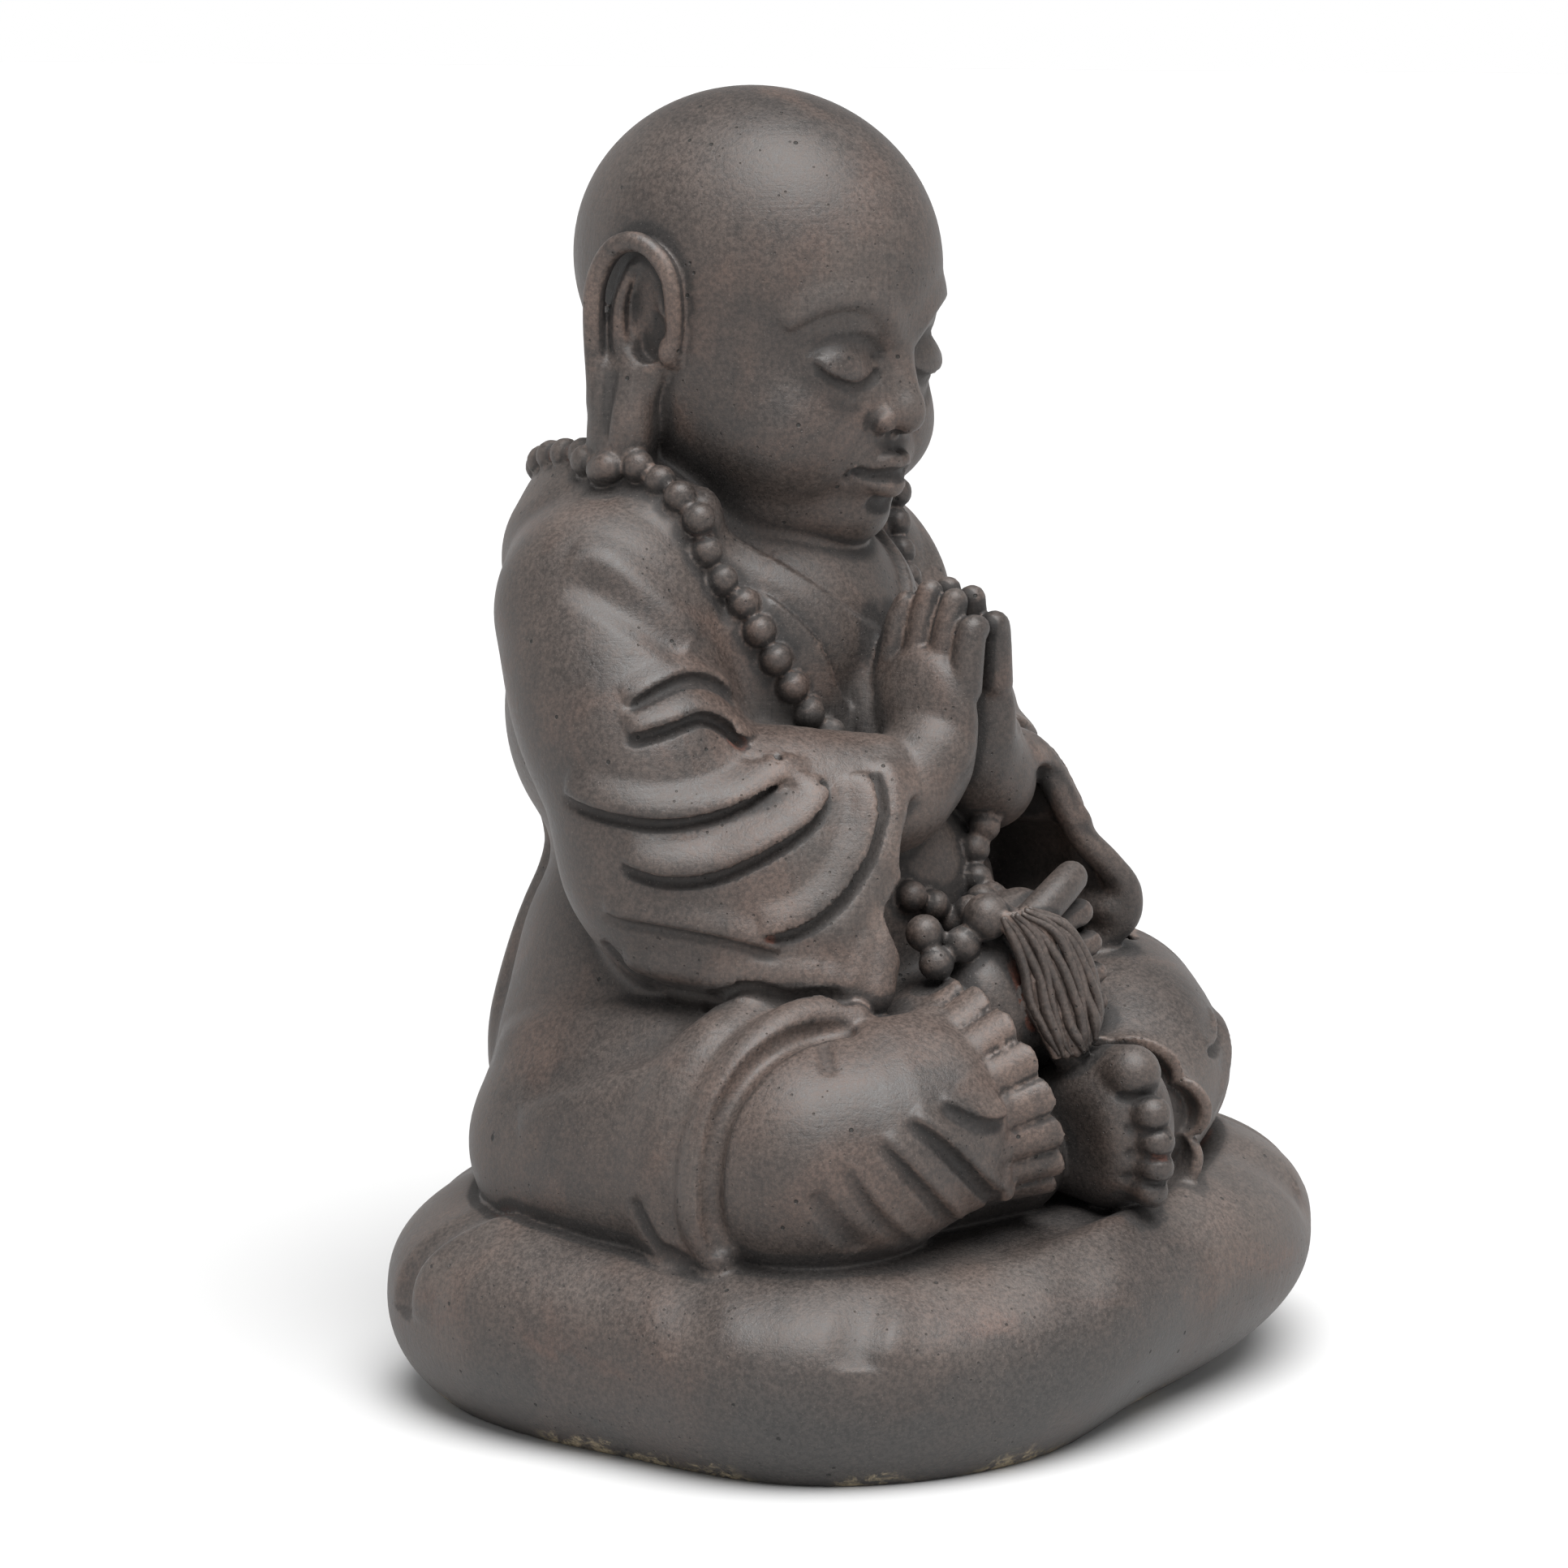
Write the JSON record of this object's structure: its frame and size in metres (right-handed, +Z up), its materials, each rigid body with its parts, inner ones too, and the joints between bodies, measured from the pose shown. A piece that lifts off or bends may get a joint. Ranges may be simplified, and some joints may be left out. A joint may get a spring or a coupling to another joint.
{
  "type": "seated praying monk sculpture",
  "caption": "Cast resin sculpture of a shaven child monk sitting cross-legged in prayer on a thick cushion, for display on a flat surface.",
  "frame": {"origin": "centre of the cushion's flat underside, where the sculpture stands", "axes": "+Z up, the figure faces -Y, its right hand side is towards -X"},
  "size_m": [0.2919, 0.2495, 0.4002],
  "materials": {
    "cast_resin": "dark grey-brown cast resin, rubbed lighter on high spots, rust red in the creases"
  },
  "bodies": {
    "root": {"praying_monk_sculpture": "cast_resin"}
  },
  "joints": []
}
